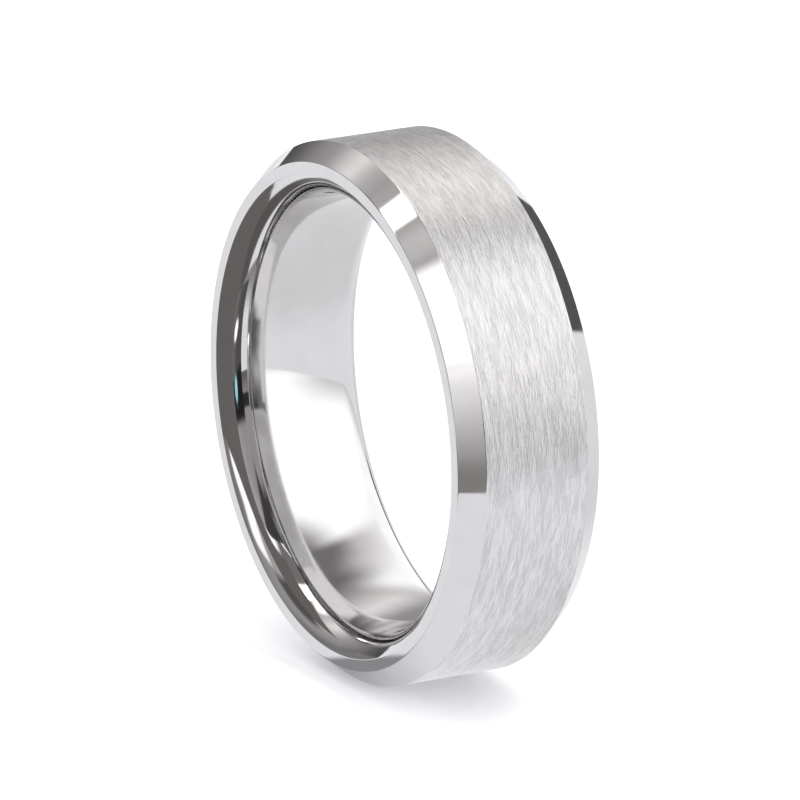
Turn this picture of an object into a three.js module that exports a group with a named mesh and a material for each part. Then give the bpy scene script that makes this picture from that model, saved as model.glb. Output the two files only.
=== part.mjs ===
// A comfort-fit wedding band, turned from one piece of white metal.
// The band stands on edge: its axis runs along Y, the origin is the centre of the finger bore,
// and +Z is up. All sizes are in millimetres.
import * as THREE from 'three';

// Driving dimensions. The bore is narrowest at the top of its crown, midway between the rims.
const BORE_DIAMETER = 19.12;
const OUTER_DIAMETER = 24.1;
const BAND_WIDTH = 7.0;
const BRUSHED_LAND_WIDTH = 5.0;
const BEVEL_DROP = 0.8;
const CROWN_RADIUS = 14.2;
const CROWN_WIDTH = 4.5;
const EDGE_RADIUS = 1.65;

// How finely the round surfaces are cut into flats.
const TURN_STEPS = 120;
const EDGE_STEPS = 7;
const HALF_CROWN_STEPS = 4;

const outerRadius = OUTER_DIAMETER / 2;
const halfWidth = BAND_WIDTH / 2;

// Points along an arc that faces the finger, where x is the radius and y runs along the axis.
// The lean is the slope of the surface, from 0 along the finger to a right angle at the rim.
function boreArc(centre, radius, startLean, endLean, steps) {
  const points = [];
  for (let step = 0; step <= steps; step += 1) {
    const lean = startLean + (endLean - startLean) * step / steps;
    const offset = new THREE.Vector2(-Math.cos(lean), Math.sin(lean)).multiplyScalar(radius);
    points.push(offset.add(centre));
  }
  return points;
}

// The comfort fit: a shallow crown along the middle of the bore, which runs smoothly into
// a tighter arc that opens out to the rim.
function comfortFitPoints() {
  const crownCentre = new THREE.Vector2(BORE_DIAMETER / 2 + CROWN_RADIUS, 0);
  const blendLean = Math.asin(CROWN_WIDTH / 2 / CROWN_RADIUS);
  const inward = new THREE.Vector2(-Math.cos(blendLean), Math.sin(blendLean));
  const edgeCentre = crownCentre.clone().addScaledVector(inward, CROWN_RADIUS - EDGE_RADIUS);
  const rimLean = Math.asin((halfWidth - edgeCentre.y) / EDGE_RADIUS);

  const edge = boreArc(edgeCentre, EDGE_RADIUS, rimLean, blendLean, EDGE_STEPS);
  const crown = boreArc(crownCentre, CROWN_RADIUS, blendLean, 0, HALF_CROWN_STEPS);
  return [...edge, ...crown.slice(1)];
}

// Half of the section, from the edge of the brushed land to the middle of the bore.
function halfSection() {
  return [
    new THREE.Vector2(outerRadius, BRUSHED_LAND_WIDTH / 2),
    new THREE.Vector2(outerRadius - BEVEL_DROP, halfWidth),
    ...comfortFitPoints(),
  ];
}

// The whole section: one side, its mirror image, and the first point again to close it.
function bandSection() {
  const front = halfSection();
  const back = front.slice(0, -1).map((point) => new THREE.Vector2(point.x, -point.y));
  return [...front, ...back.reverse(), front[0].clone()];
}

function makeBand() {
  const metal = new THREE.MeshStandardMaterial({ color: 0xcfccca, roughness: 0.22, metalness: 1.0 });
  const band = new THREE.Mesh(new THREE.LatheGeometry(bandSection(), TURN_STEPS), metal);
  band.name = 'band';
  return band;
}

const ring = new THREE.Group();
ring.add(makeBand());

export default ring;
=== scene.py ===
# A brushed and bevelled wedding band, standing on edge on a pale floor.
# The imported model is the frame: its axis runs along Y, and the bore's centre is the origin.
import math

import bmesh
import bpy
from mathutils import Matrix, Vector


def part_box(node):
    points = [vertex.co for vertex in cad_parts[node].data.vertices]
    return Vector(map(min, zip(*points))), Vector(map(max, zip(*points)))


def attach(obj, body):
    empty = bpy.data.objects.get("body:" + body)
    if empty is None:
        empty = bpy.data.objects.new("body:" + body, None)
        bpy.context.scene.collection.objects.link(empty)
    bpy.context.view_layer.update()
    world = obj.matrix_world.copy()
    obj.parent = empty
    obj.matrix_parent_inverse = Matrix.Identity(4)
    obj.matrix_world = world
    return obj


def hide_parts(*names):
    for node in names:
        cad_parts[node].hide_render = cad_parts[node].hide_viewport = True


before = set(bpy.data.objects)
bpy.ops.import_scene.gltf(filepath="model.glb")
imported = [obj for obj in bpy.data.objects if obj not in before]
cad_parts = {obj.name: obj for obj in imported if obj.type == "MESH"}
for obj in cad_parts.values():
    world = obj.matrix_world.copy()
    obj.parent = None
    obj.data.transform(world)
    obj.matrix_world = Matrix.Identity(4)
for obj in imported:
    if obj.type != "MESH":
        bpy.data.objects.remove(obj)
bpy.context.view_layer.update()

MM = 0.001

# ---- Sizes. The outside comes from the frame's box, which is centred on the origin. The section
# inside it is the part's own. ----
HALF_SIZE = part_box("band")[1]
OUTER_RADIUS = HALF_SIZE[2]
HALF_WIDTH = HALF_SIZE[1]
BORE_RADIUS = 9.56 * MM
LAND_HALF_WIDTH = 2.5 * MM
BEVEL_DROP = 0.8 * MM
CROWN_RADIUS = 14.2 * MM
CROWN_HALF_WIDTH = 2.25 * MM
EDGE_RADIUS = 1.65 * MM
BREAK_RADIUS = 0.05 * MM

# How finely the round surfaces are cut.
TURN_STEPS = 600
BREAK_STEPS = 4
EDGE_STEPS = 20
CROWN_STEPS = 10

# How far inside its ends a flat stretch has its guard points.
GUARD = 0.03 * MM

# The finishes, by the number of their material on the mesh.
BRUSHED, POLISHED, BORE = range(3)


# ---- The section, in (radius, y) ----
def arc(centre, radius, start, turn, steps):
    """Points along an arc, both ends included."""
    angles = [start + turn * i / steps for i in range(steps + 1)]
    return [(centre[0] + radius * math.cos(a), centre[1] + radius * math.sin(a)) for a in angles]


def broken_edge(before, corner, after):
    """The small arc that breaks the edge between two straight stretches."""
    to_before = (Vector(before) - Vector(corner)).normalized()
    to_after = (Vector(after) - Vector(corner)).normalized()
    half = to_before.angle(to_after) / 2
    centre = Vector(corner) + (to_before + to_after).normalized() * (BREAK_RADIUS / math.sin(half))
    first = Vector(corner) + to_before * (BREAK_RADIUS / math.tan(half)) - centre
    last = Vector(corner) + to_after * (BREAK_RADIUS / math.tan(half)) - centre
    turn = math.atan2(first.x * last.y - first.y * last.x, first.dot(last))
    return arc(centre, BREAK_RADIUS, math.atan2(first.y, first.x), turn, BREAK_STEPS)


def comfort_fit():
    """From the rim to the middle of the bore: the tighter edge arc, then the shallow crown."""
    blend = math.asin(CROWN_HALF_WIDTH / CROWN_RADIUS)
    crown_centre = (BORE_RADIUS + CROWN_RADIUS, 0.0)
    reach = CROWN_RADIUS - EDGE_RADIUS
    edge_centre = (crown_centre[0] - reach * math.cos(blend), reach * math.sin(blend))
    rim = math.asin((HALF_WIDTH - edge_centre[1]) / EDGE_RADIUS)
    edge = arc(edge_centre, EDGE_RADIUS, math.pi - rim, rim - blend, EDGE_STEPS)
    crown = arc(crown_centre, CROWN_RADIUS, math.pi - blend, blend, CROWN_STEPS)
    return edge + crown[1:]


def guards(start, end):
    """Two points just inside a flat stretch, which keep the shading of its edges off the flat."""
    step = (Vector(end) - Vector(start)).normalized() * GUARD
    return [tuple(Vector(start) + step), tuple(Vector(end) - step)]


def half_section():
    """From the middle of the brushed land to the middle of the bore, as (radius, y, finish)."""
    land_edge = (OUTER_RADIUS, LAND_HALF_WIDTH)
    rim_edge = (OUTER_RADIUS - BEVEL_DROP, HALF_WIDTH)
    inside = comfort_fit()
    upper = broken_edge((OUTER_RADIUS, 0), land_edge, rim_edge)
    lower = broken_edge(land_edge, rim_edge, inside[0])
    # The break between the rim and the bore takes the place of the bore's first two points.
    inner = broken_edge(rim_edge, inside[0], inside[2])
    bore = inside[2:]

    # The finish changes within the upper break.
    brushed = [(OUTER_RADIUS, 0.0), (OUTER_RADIUS, upper[0][1] - GUARD), *upper[:2]]
    polished = [*upper[2:], *guards(upper[-1], lower[0]), *lower, *guards(lower[-1], inner[0]), *inner]
    stretches = ((BRUSHED, brushed), (POLISHED, polished), (BORE, bore))
    return [(*point, finish) for finish, stretch in stretches for point in stretch]


def whole_section():
    """The closed section. Each finish belongs to the stretch from its point to the next."""
    front = half_section()
    finishes = [finish for _, _, finish in front[:-1]]
    points = [(r, y) for r, y, _ in front]
    points += [(r, -y) for r, y in reversed(points[1:-1])]
    return points, finishes + finishes[::-1]


# ---- The band ----
def add_object(name, data):
    """A new object in the scene."""
    made = bpy.data.objects.new(name, data)
    bpy.context.collection.objects.link(made)
    return made


def face_outwards(mesh):
    shaped = bmesh.new()
    shaped.from_mesh(mesh)
    bmesh.ops.recalc_face_normals(shaped, faces=shaped.faces)
    shaped.to_mesh(mesh)
    shaped.free()


def make_band():
    """The section turned about the Y axis, as one closed mesh."""
    points, finishes = whole_section()
    count = len(points)
    verts = []
    faces = []
    for turn in range(TURN_STEPS):
        angle = math.tau * turn / TURN_STEPS
        verts += [(r * math.cos(angle), y, r * math.sin(angle)) for r, y in points]
        this = turn * count
        following = (turn + 1) % TURN_STEPS * count
        for i in range(count):
            j = (i + 1) % count
            faces.append((this + i, this + j, following + j, following + i))

    mesh = bpy.data.meshes.new("wedding_band")
    mesh.from_pydata(verts, [], faces)
    for index, face in enumerate(mesh.polygons):
        face.material_index = finishes[index % count]
        face.use_smooth = True
    face_outwards(mesh)
    return add_object("wedding_band", mesh)


# ---- Node helpers ----
class Tree:
    """A short way to write shader nodes: most helpers return an output socket."""

    def __init__(self, tree):
        self.tree = tree
        self.tree.nodes.clear()

    def node(self, kind, inputs=(), **settings):
        made = self.tree.nodes.new(kind)
        for name, value in settings.items():
            setattr(made, name, value)
        for key, value in dict(inputs).items():
            self.feed(made.inputs[key], value)
        return made

    def feed(self, socket, value):
        if isinstance(value, bpy.types.NodeSocket):
            self.tree.links.new(value, socket)
        elif socket.type == "RGBA":
            socket.default_value = (*value, 1)
        else:
            socket.default_value = value

    def math(self, operation, *values):
        return self.node("ShaderNodeMath", enumerate(values), operation=operation).outputs[0]

    def dot(self, vector, direction):
        made = self.node("ShaderNodeVectorMath", {0: vector, 1: direction}, operation="DOT_PRODUCT")
        return made.outputs["Value"]

    def vector(self, x, y, z):
        return self.node("ShaderNodeCombineXYZ", {0: x, 1: y, 2: z}).outputs[0]

    def split(self, vector):
        return self.node("ShaderNodeSeparateXYZ", {0: vector}).outputs

    def place(self):
        """The place on the object, in metres."""
        return self.node("ShaderNodeTexCoord").outputs["Object"]

    def ramp(self, value, low, high, to_low=0.0, to_high=1.0):
        """A smooth step from to_low, where the value is low, to to_high, where it is high."""
        inputs = {"Value": value, "From Min": low, "From Max": high, "To Min": to_low, "To Max": to_high}
        return self.node("ShaderNodeMapRange", inputs, interpolation_type="SMOOTHSTEP").outputs[0]

    def above(self, value, edge, soft):
        """1 above the edge and 0 below it."""
        return self.ramp(value, edge - soft, edge + soft)

    def below(self, value, edge, soft):
        """1 below the edge and 0 above it."""
        return self.ramp(value, edge + soft, edge - soft)

    def overlap(self, first, *others):
        """1 where every mask is 1."""
        for mask in others:
            first = self.math("MULTIPLY", first, mask)
        return first

    def noise(self, vector, scale, detail=2.0, roughness=0.5):
        inputs = {"Vector": vector, "Scale": scale, "Detail": detail, "Roughness": roughness}
        return self.node("ShaderNodeTexNoise", inputs).outputs["Fac"]

    def tint(self, factor, first, second):
        """A mix of two colours, which the Mix node has at inputs 6 and 7 and gives at output 2."""
        made = self.node("ShaderNodeMix", {0: factor, 6: first, 7: second}, data_type="RGBA")
        return made.outputs[2]

    def bump(self, height, depth, strength=1.0):
        inputs = {"Strength": strength, "Distance": depth, "Height": height}
        return self.node("ShaderNodeBump", inputs).outputs[0]

    def principled(self, inputs):
        return self.node("ShaderNodeBsdfPrincipled", inputs).outputs[0]

    def shining(self, colour):
        """A surface that shines with this colour and reflects nothing."""
        return self.node("ShaderNodeEmission", {"Color": colour, "Strength": 1.0}).outputs[0]

    def clear_where(self, mask, shader):
        """The shader, made clear where the mask is 1."""
        clear = self.node("ShaderNodeBsdfTransparent").outputs[0]
        return self.node("ShaderNodeMixShader", {0: mask, 1: shader, 2: clear}).outputs[0]

    def surface(self, shader):
        self.node("ShaderNodeOutputMaterial", {"Surface": shader})


def new_material(name):
    material = bpy.data.materials.new(name)
    material.use_nodes = True
    return material, Tree(material.node_tree)


# ---- The band's materials ----
METAL_LIGHT = (0.602, 0.592, 0.592)
METAL_SHADE = (0.582, 0.573, 0.574)
OUTSIDE_GLOSS = 0.03
BORE_GLOSS = 0.05
HAZE_SCALE = 900.0
HAZE_ROUGHNESS = 0.03
HAZE_LIGHTENS_OVER = (0.35, 0.7)
HAZE_DULLS_OVER = (0.3, 0.75)
WAVE_SCALE = 260.0
WAVE_DEPTH = 0.02 * MM
WAVE_STRENGTH = 0.15

# The brush strokes: slant in degrees, length, width, and where their noise is taken from.
FINE_STROKES = (5.0, 0.9 * MM, 0.07 * MM, 0.0)
CROSS_STROKES = (-6.0, 1.2 * MM, 0.09 * MM, 7.3)
BROAD_STROKES = (1.5, 2.0 * MM, 0.30 * MM, 15.1)
STROKE_LIGHT = (0.745, 0.735, 0.735)
STROKE_SHADE = (0.575, 0.565, 0.567)
STROKE_DEPTH = 0.05 * MM
STROKE_ROUGHNESS = (0.26, 0.36)
TONE_LIGHTENS_OVER = (0.3, 0.7)
CROSS_DULLS_OVER = (0.25, 0.75)
# How much the cross and broad strokes count in the depth and in the tone, beside the fine ones.
CROSS_IN_DEPTH = 0.8
BROAD_IN_DEPTH = 0.9
CROSS_IN_TONE = 0.7
BROAD_IN_TONE = 0.8


def polished_metal(name, gloss):
    """Mirror polish, with the faint haze and the slow waviness that a buffing wheel leaves."""
    material, tree = new_material(name)
    place = tree.place()
    haze = tree.noise(place, HAZE_SCALE, detail=4.0)
    wave = tree.noise(place, WAVE_SCALE, detail=1.0)
    tree.surface(tree.principled({
        "Base Color": tree.tint(tree.ramp(haze, *HAZE_LIGHTENS_OVER), METAL_SHADE, METAL_LIGHT),
        "Metallic": 1.0,
        "Roughness": tree.ramp(haze, *HAZE_DULLS_OVER, gloss, gloss + HAZE_ROUGHNESS),
        "Normal": tree.bump(wave, WAVE_DEPTH, WAVE_STRENGTH)}))
    return material


def brushed_metal():
    """Fine strokes round the band, a few degrees off true, each with its own tone and depth."""
    material, tree = new_material("brushed_metal")
    x, y, z = tree.split(tree.place())
    around = tree.math("MULTIPLY", tree.math("ARCTAN2", z, x), OUTER_RADIUS)

    def strokes(slant, length, width, seed):
        lean = math.radians(slant)
        along = tree.math("ADD", tree.math("MULTIPLY", around, math.cos(lean)),
                          tree.math("MULTIPLY", y, math.sin(lean)))
        across = tree.math("SUBTRACT", tree.math("MULTIPLY", y, math.cos(lean)),
                           tree.math("MULTIPLY", around, math.sin(lean)))
        spot = tree.vector(tree.math("DIVIDE", along, length), tree.math("DIVIDE", across, width), seed)
        return tree.noise(spot, 1.0, detail=3.0, roughness=0.6)

    def lighter(shade, strength, rest):
        """Adds a noise to the rest of the tone, counted from its middle value."""
        return tree.math("MULTIPLY_ADD", tree.math("SUBTRACT", shade, 0.5), strength, rest)

    fine = strokes(*FINE_STROKES)
    cross = strokes(*CROSS_STROKES)
    broad = strokes(*BROAD_STROKES)
    height = tree.math("MULTIPLY_ADD", broad, BROAD_IN_DEPTH, fine)
    height = tree.math("MULTIPLY_ADD", cross, CROSS_IN_DEPTH, height)
    tone = lighter(broad, BROAD_IN_TONE, lighter(cross, CROSS_IN_TONE, fine))
    tree.surface(tree.principled({
        "Base Color": tree.tint(tree.ramp(tone, *TONE_LIGHTENS_OVER), STROKE_SHADE, STROKE_LIGHT),
        "Metallic": 1.0,
        "Roughness": tree.ramp(cross, *CROSS_DULLS_OVER, *STROKE_ROUGHNESS),
        "Anisotropic": 0.9,
        "Anisotropic Rotation": 0.25,
        "Tangent": tree.node("ShaderNodeTangent", direction_type="RADIAL", axis="Y").outputs[0],
        "Normal": tree.bump(height, STROKE_DEPTH)}))
    return material


# ---- The floor, and the footing: a glowing stand-in for the part of the floor that the metal sees up close, with a painted contact shadow ----
FLOOR_LIGHT = (0.92, 0.92, 0.92)
FLOOR_SHADE = (0.90, 0.90, 0.91)
FLOOR_GLOW = (0.965, 0.95, 1.0)
FLOOR_GLOW_STRENGTH = 0.16
FLOOR_MOTTLE_SCALE = 700.0
FLOOR_ROUGHNESS = 0.9
FLOOR_HALF_SIZE = 3000 * MM
# The brightness of the floor, as the metal sees it.
FLOOR_SEEN = (1.16, 1.17, 1.21)
# The floor and the footing lie this far below the band, which also keeps them apart.
FLOOR_GAP = 0.002 * MM
FOOTING_GAP = 0.001 * MM

# The painted contact shadow: the footing's colour next to the band, and the span of x over which it
# brightens to the floor's.
FOOTING_PAINTED_SHADOW = (0.38, 0.38, 0.40)
FOOTING_PAINTED_SHADOW_OVER = (-1 * MM, 8 * MM)
FOOTING_HALF_SIZE = 50 * MM
# The footing ends on the left at a slanted line, and in front and behind at lines along X.
FOOTING_LEFT = 4.2 * MM
FOOTING_LEFT_SLANT = 0.4
FOOTING_MIDDLE = -14 * MM
FOOTING_HALF_DEPTH = 12 * MM
FOOTING_SOFT = 1.0 * MM


def floor_material():
    """A pale light table: plain white, with a faint glow of its own that lifts the shadows."""
    material, tree = new_material("pale_floor")
    mottle = tree.noise(tree.place(), FLOOR_MOTTLE_SCALE, detail=3.0)
    tree.surface(tree.principled({
        "Base Color": tree.tint(mottle, FLOOR_SHADE, FLOOR_LIGHT),
        "Roughness": FLOOR_ROUGHNESS,
        "Emission Color": FLOOR_GLOW,
        "Emission Strength": FLOOR_GLOW_STRENGTH}))
    return material


def footing_material():
    """Shines with the floor's brightness on the right, and a painted contact shadow darkens it to the
    left, where the band stands.
    """
    material, tree = new_material("footing")
    x, y, _ = tree.split(tree.place())
    slanted = tree.math("MULTIPLY", y, FOOTING_LEFT_SLANT)
    past_left = tree.math("SUBTRACT", tree.math("MULTIPLY", x, -1.0), slanted)
    past_left = tree.math("SUBTRACT", past_left, FOOTING_LEFT)
    from_middle = tree.math("ABSOLUTE", tree.math("SUBTRACT", y, FOOTING_MIDDLE))
    past_ends = tree.math("SUBTRACT", from_middle, FOOTING_HALF_DEPTH)
    outside = tree.math("MAXIMUM", past_left, past_ends)
    # The painted contact shadow: dark next to the band, and fading to the floor's brightness away from
    # it.
    colour = tree.tint(tree.ramp(x, *FOOTING_PAINTED_SHADOW_OVER), FOOTING_PAINTED_SHADOW, FLOOR_SEEN)
    tree.surface(tree.clear_where(tree.ramp(outside, 0.0, FOOTING_SOFT), tree.shining(colour)))
    return material


def sheet(name, corners, material):
    """A flat sheet of the studio, which isn't part of the band."""
    mesh = bpy.data.meshes.new(name)
    mesh.from_pydata(corners, [], [(0, 1, 2, 3)])
    mesh.materials.append(material)
    made = add_object(name, mesh)
    return made


def seen_only_by_the_metal(thing):
    thing.visible_camera = False
    thing.visible_diffuse = False
    thing.visible_shadow = False


def make_floor():
    """One pale floor. In the metal's reflections, the footing takes its place near the band."""
    def level(half_size, height):
        signs = ((-1, -1), (1, -1), (1, 1), (-1, 1))
        return [(x * half_size, y * half_size, height) for x, y in signs]

    floor = sheet("floor", level(FLOOR_HALF_SIZE, -OUTER_RADIUS - FLOOR_GAP), floor_material())
    floor.visible_glossy = False
    footing = sheet("footing", level(FOOTING_HALF_SIZE, -OUTER_RADIUS - FOOTING_GAP), footing_material())
    seen_only_by_the_metal(footing)


# ---- Two cards close to the band, for the reflections in the left side of the bore ----
# The front card stands at x = 0, in front of the band, and shines to the left. It is dark at the
# foot, then black, then pale. It is lighter away from the band, and above a slanted line it is
# nearly black again.
FRONT_CARD_NEAR = -6.5 * MM
FRONT_CARD_FAR = -24 * MM
FRONT_CARD_TOP = 24 * MM
CARD_FOOT_NEAR = (0.12, 0.12, 0.12)
CARD_FOOT_FAR = (0.34, 0.33, 0.33)
CARD_BLACK = (0.02, 0.02, 0.02)
CARD_PALE_NEAR = (0.46, 0.44, 0.44)
CARD_PALE_FAR = (0.58, 0.56, 0.56)
CARD_CORNER = (0.07, 0.07, 0.07)
CARD_LIGHTENS_OVER = (-9 * MM, -17 * MM)
BLACK_BEGINS_OVER = (-3.2 * MM, -2.6 * MM)
BLACK_ENDS_OVER = (-0.7 * MM, -0.2 * MM)
CORNER_BEGINS_OVER = (-6 * MM, -4 * MM)
# Each spot of light on it is an ellipse: y and z of its middle, half its width and height, colour.
CARD_SPOTS = (
    (-11.3 * MM, -5.9 * MM, 1.5 * MM, 0.9 * MM, (2.0, 2.0, 2.0)),
    (-11.4 * MM, -2.2 * MM, 1.3 * MM, 0.7 * MM, (0.55, 1.10, 1.25)),
)
SPOT_EDGE = (1.4, 0.5)

# The side card is plain. It stands across the front, to the left, and shines towards the band.
SIDE_CARD_GREY = (0.20, 0.19, 0.185)
SIDE_CARD_Y = -8 * MM
SIDE_CARD_LEFT = -12 * MM
SIDE_CARD_RIGHT = -5.5 * MM
SIDE_CARD_FOOT = -3.8 * MM
SIDE_CARD_TOP = 5.5 * MM


def card_material(name, paint):
    """A card that shines as the paint says on its front, and is clear from behind."""
    material, tree = new_material(name)
    back = tree.node("ShaderNodeNewGeometry").outputs["Backfacing"]
    tree.surface(tree.clear_where(back, tree.shining(paint(tree))))
    return material


def front_card_paint(tree):
    _, y, z = tree.split(tree.place())

    def squared(value, middle, half_size):
        offset = tree.math("DIVIDE", tree.math("SUBTRACT", value, middle), half_size)
        return tree.math("POWER", offset, 2.0)

    away = tree.ramp(y, *CARD_LIGHTENS_OVER)
    foot = tree.tint(away, CARD_FOOT_NEAR, CARD_FOOT_FAR)
    pale = tree.tint(away, CARD_PALE_NEAR, CARD_PALE_FAR)
    colour = tree.tint(tree.ramp(z, *BLACK_BEGINS_OVER), foot, CARD_BLACK)
    colour = tree.tint(tree.ramp(z, *BLACK_ENDS_OVER), colour, pale)
    corner = tree.ramp(tree.math("ADD", z, y), *CORNER_BEGINS_OVER)
    colour = tree.tint(corner, colour, CARD_CORNER)
    for middle, height, half_width, half_height, light in CARD_SPOTS:
        from_spot = tree.math("ADD", squared(y, middle, half_width), squared(z, height, half_height))
        colour = tree.tint(tree.ramp(from_spot, *SPOT_EDGE), colour, light)
    return colour


def side_card_paint(_tree):
    """One plain grey, which needs no nodes."""
    return SIDE_CARD_GREY


def make_cards():
    foot = -OUTER_RADIUS
    front_corners = [
        (0, FRONT_CARD_NEAR, foot),
        (0, FRONT_CARD_FAR, foot),
        (0, FRONT_CARD_FAR, FRONT_CARD_TOP),
        (0, FRONT_CARD_NEAR, FRONT_CARD_TOP),
    ]
    side_corners = [
        (SIDE_CARD_LEFT, SIDE_CARD_Y, SIDE_CARD_FOOT),
        (SIDE_CARD_LEFT, SIDE_CARD_Y, SIDE_CARD_TOP),
        (SIDE_CARD_RIGHT, SIDE_CARD_Y, SIDE_CARD_TOP),
        (SIDE_CARD_RIGHT, SIDE_CARD_Y, SIDE_CARD_FOOT),
    ]
    for name, corners, paint in (
        ("front_card", front_corners, front_card_paint),
        ("side_card", side_corners, side_card_paint),
    ):
        seen_only_by_the_metal(sheet(name, corners, card_material(name, paint)))


# ---- The studio. Azimuths run from +X towards +Y, and all angles are in degrees. ----
# What everything but the metal sees.
PLAIN_LIGHT = (1.2805, 1.2805, 1.30)

# The bare walls, which grow paler with height, and the dark ceiling.
WALL_FOOT = (0.37, 0.36, 0.36)
WALL_TOP = (0.66, 0.64, 0.64)
WALL_RISE = (0, 60)
CEILING = (0.26, 0.25, 0.25)
CEILING_EDGE = (56, 68)

# The strip light overhead runs parallel to the band's axis.
STRIP_LIGHT = (5.0, 4.9, 4.6)
STRIP_SLOPES = (-0.50, -0.285)
STRIP_REACH = (-0.62, 0.20)
STRIP_SIDE_SOFT = 0.03
STRIP_END_SOFT = (0.05, 0.08)
# This keeps the slope finite at the horizon.
STRIP_LEAST_HEIGHT = 0.01

# Panels, painted over one another in this order.
PANELS = (
    # name, azimuth, half width, soft edge, elevation, half height, soft edge, brightness
    ("right softbox", 46, 38, 8, 27, 40, 9, (1.80, 1.80, 1.80)),
    ("back softbox", 104, 33, 6, 14, 38, 13, (1.62, 1.62, 1.62)),
    ("back top", 140, 17, 11, 66, 14, 9, (0.25, 0.24, 0.24)),
    ("back grey", 148, 9, 6, 33, 8, 10, (1.15, 1.13, 1.13)),
    ("right skirting", 78, 46, 14, -3, 7, 9, (0.75, 0.74, 0.74)),
    ("back skirting", 122.5, 15.5, 1.5, 2, 3.6, 0.8, (0.125, 0.125, 0.125)),
    ("left wall", -168, 36, 4, 0, 12, 14, (0.10, 0.10, 0.095)),
    ("left glow", -168, 14, 10, 39, 5, 10, (1.36, 1.32, 1.32)),
    ("left softbox", -168, 14, 5, 62, 11, 3, (2.00, 1.94, 1.85)),
    ("left dark", -128, 16, 4, 38, 9, 4, (0.14, 0.13, 0.13)),
    ("front low", -130, 34, 3, 3, 9, 3, (0.30, 0.29, 0.29)),
    ("front top", -97, 9, 6, 54, 4, 5, (0.86, 0.84, 0.84)),
    ("white line low", -73, 8, 2, -1, 5, 2, (1.70, 1.70, 1.70)),
    ("white line middle", -81, 13, 3, 11, 8, 3, (1.72, 1.72, 1.72)),
    ("white line high", -92, 15, 3, 24, 8, 3, (1.70, 1.70, 1.70)),
    ("softbox edge", -49.5, 4.5, 1, 60, 51, 29, (1.75, 1.74, 1.75)),
    ("front flag", -24.5, 21, 0.8, -22, 30, 6, (0.15, 0.145, 0.14)),
    ("camera side", -24.5, 21, 0.8, 32, 36, 8, (0.45, 0.43, 0.43)),
    ("camera", -26, 18, 3, 56, 9, 8, (0.08, 0.07, 0.07)),
    ("under camera", -24.5, 21, 0.8, 3.5, 3.5, 0.8, (0.04, 0.04, 0.04)),
)
GROUND_PANELS = (
    ("back ground", 143, 36, 12, -14, 10, 3, (0.92, 0.92, 0.95)),
    ("right ground", 85, 65, 8, -52, 20, 12, (1.00, 1.00, 1.02)),
)

# The front softbox is a panel that hangs at a slant: its lower edge is a plane through the band.
SOFTBOX = (-67, 15, 4, 40, 22, 6)
SOFTBOX_LIGHT = (2.00, 2.00, 2.00)
SOFTBOX_SLANT = (1.333, 3.09, 1.0)
SOFTBOX_FROM = -1.254
SOFTBOX_SOFT = 0.045

# Towards this azimuth, the table's edge is seen below the horizon. The drop is a slope.
TABLE_EDGE_AZIMUTH = -45
TABLE_EDGE_DROP = 0.364
TABLE_EDGE_SOFT = 0.005
HORIZON_SOFT = 0.004

# A dark sheet lies on the table in front, to the left of the footing.
SHEET_NEAR = (0.15, 0.14, 0.135)
SHEET_FAR = (0.34, 0.33, 0.32)
SHEET_LIGHTENS_OVER = (-50, -30)
SHEET_SLANT = (1.0, 1.356, 0.252)
SHEET_FROM = -1.13
SHEET_EDGE = (0.27, 1.0, 0.0)
SHEET_TO = -0.20
SHEET_SOFT = 0.03
SHEET_TOP = -11
SHEET_TOP_SOFT = 5

# The key light, which lights the floor and the shadow but isn't reflected.
KEY_AZIMUTH = 61
KEY_ELEVATION = 66
KEY_DISTANCE = 0.8
KEY_SIZE = (0.45, 0.35)
KEY_ENERGY = 1.2
KEY_COLOUR = (1.0, 0.99, 0.97)


def heading(azimuth, elevation):
    """The direction at an azimuth and an elevation."""
    a, e = math.radians(azimuth), math.radians(elevation)
    return Vector((math.cos(e) * math.cos(a), math.cos(e) * math.sin(a), math.sin(e)))


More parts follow.
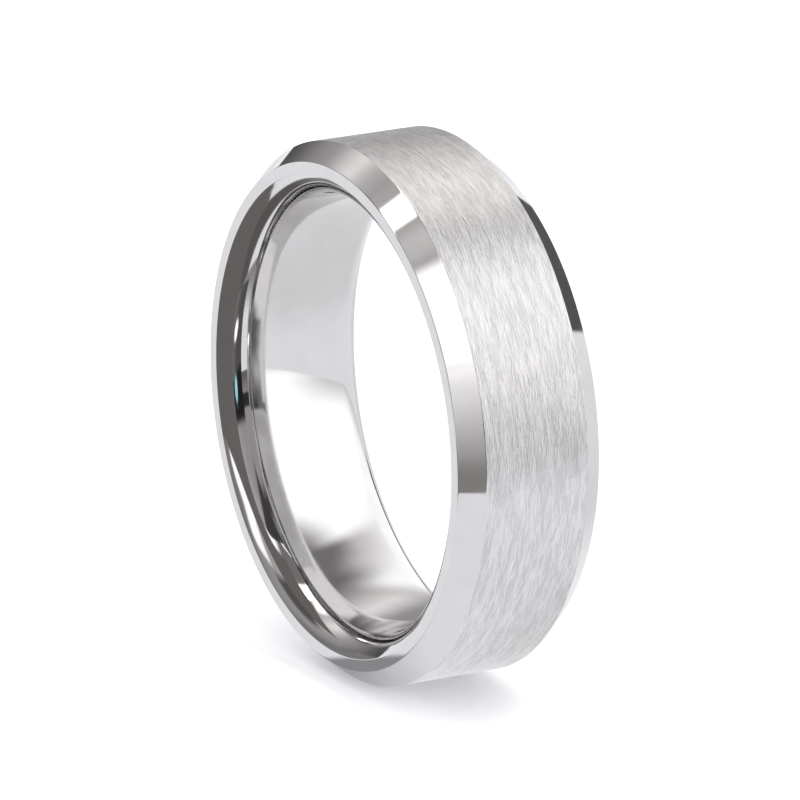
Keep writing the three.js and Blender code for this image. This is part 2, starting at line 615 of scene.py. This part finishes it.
def paint_studio(tree, sight):
    """The studio as the metal sees it, by direction alone."""
    x, y, z = tree.split(sight)
    azimuth = tree.math("DEGREES", tree.math("ARCTAN2", y, x))
    elevation = tree.math("DEGREES", tree.math("ARCSINE", z))

    def panel(aim, half_width, side_soft, height, half_height, end_soft):
        turn = tree.math("WRAP", tree.math("SUBTRACT", azimuth, aim), 180.0, -180.0)
        climb = tree.math("SUBTRACT", elevation, height)
        return tree.overlap(tree.below(tree.math("ABSOLUTE", turn), half_width, side_soft),
                            tree.below(tree.math("ABSOLUTE", climb), half_height, end_soft))

    light = tree.tint(tree.ramp(elevation, *WALL_RISE), WALL_FOOT, WALL_TOP)
    light = tree.tint(tree.ramp(elevation, *CEILING_EDGE), light, CEILING)

    slope = tree.math("DIVIDE", x, tree.math("MAXIMUM", z, STRIP_LEAST_HEIGHT))
    strip = tree.overlap(tree.above(slope, STRIP_SLOPES[0], STRIP_SIDE_SOFT),
                         tree.below(slope, STRIP_SLOPES[1], STRIP_SIDE_SOFT),
                         tree.above(y, STRIP_REACH[0], STRIP_END_SOFT[0]),
                         tree.below(y, STRIP_REACH[1], STRIP_END_SOFT[1]))
    light = tree.tint(strip, light, STRIP_LIGHT)

    for _, *place, brightness in PANELS:
        light = tree.tint(panel(*place), light, brightness)
    over_its_edge = tree.above(tree.dot(sight, SOFTBOX_SLANT), SOFTBOX_FROM, SOFTBOX_SOFT)
    light = tree.tint(tree.overlap(panel(*SOFTBOX), over_its_edge), light, SOFTBOX_LIGHT)

    edge = math.radians(TABLE_EDGE_AZIMUTH)
    edge_plane = (TABLE_EDGE_DROP * math.cos(edge), TABLE_EDGE_DROP * math.sin(edge), 1.0)
    table = tree.overlap(tree.below(z, 0.0, HORIZON_SOFT),
                         tree.below(tree.dot(sight, edge_plane), 0.0, TABLE_EDGE_SOFT))
    light = tree.tint(table, light, FLOOR_SEEN)

    dark = tree.tint(tree.ramp(elevation, *SHEET_LIGHTENS_OVER), SHEET_NEAR, SHEET_FAR)
    cover = tree.overlap(tree.above(tree.dot(sight, SHEET_SLANT), SHEET_FROM, SHEET_SOFT),
                         tree.below(tree.dot(sight, SHEET_EDGE), SHEET_TO, SHEET_SOFT),
                         tree.below(elevation, SHEET_TOP, SHEET_TOP_SOFT))
    light = tree.tint(cover, light, dark)
    for _, *place, brightness in GROUND_PANELS:
        light = tree.tint(panel(*place), light, brightness)
    return light


def make_world():
    """Plain soft light all round, and the painted studio for what the metal reflects."""
    world = bpy.data.worlds.new("studio")
    world.use_nodes = True
    tree = Tree(world.node_tree)
    studio = paint_studio(tree, tree.node("ShaderNodeTexCoord").outputs["Generated"])
    glossy = tree.node("ShaderNodeLightPath").outputs["Is Glossy Ray"]
    colour = tree.tint(glossy, PLAIN_LIGHT, studio)
    light = tree.node("ShaderNodeBackground", {"Color": colour, "Strength": 1.0})
    tree.node("ShaderNodeOutputWorld", {"Surface": light.outputs[0]})
    bpy.context.scene.world = world


def make_key_light():
    """A large soft light from the right, well above, for the faint shadow to the left."""
    data = bpy.data.lights.new("key_softbox", "AREA")
    data.shape = "RECTANGLE"
    data.size, data.size_y = KEY_SIZE
    data.energy = KEY_ENERGY
    data.color = KEY_COLOUR
    light = add_object("key_softbox", data)
    light.location = heading(KEY_AZIMUTH, KEY_ELEVATION) * KEY_DISTANCE
    light.rotation_mode = "QUATERNION"
    light.rotation_quaternion = (-light.location).to_track_quat("-Z", "Y")
    light.visible_glossy = False


# ---- The camera ----
CAMERA_AZIMUTH = -29.0
CAMERA_ELEVATION = 16.65
CAMERA_DISTANCE = 462 * MM
CAMERA_LENS = 474.7
SENSOR = 36.0
AIM_RIGHT = -0.065 * MM
AIM_UP = 0.264 * MM
CLIP_NEAR = 0.01
CLIP_FAR = 20.0


def make_camera():
    data = bpy.data.cameras.new("camera")
    data.sensor_width = SENSOR
    data.lens = CAMERA_LENS
    data.clip_start = CLIP_NEAR
    data.clip_end = CLIP_FAR
    camera = add_object("camera", data)
    back = heading(CAMERA_AZIMUTH, CAMERA_ELEVATION)
    right = heading(CAMERA_AZIMUTH + 90, 0)
    up = back.cross(right)
    camera.location = back * CAMERA_DISTANCE + right * AIM_RIGHT + up * AIM_UP
    camera.rotation_mode = "QUATERNION"
    camera.rotation_quaternion = (-back).to_track_quat("-Z", "Y")
    bpy.context.scene.camera = camera


# ---- Build ----
band = make_band()
band.data.materials.append(brushed_metal())
band.data.materials.append(polished_metal("polished_metal", OUTSIDE_GLOSS))
band.data.materials.append(polished_metal("polished_bore", BORE_GLOSS))
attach(band, "root")
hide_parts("band")

make_world()
make_floor()
make_cards()
make_key_light()
make_camera()
bpy.context.scene.view_settings.view_transform = "Standard"
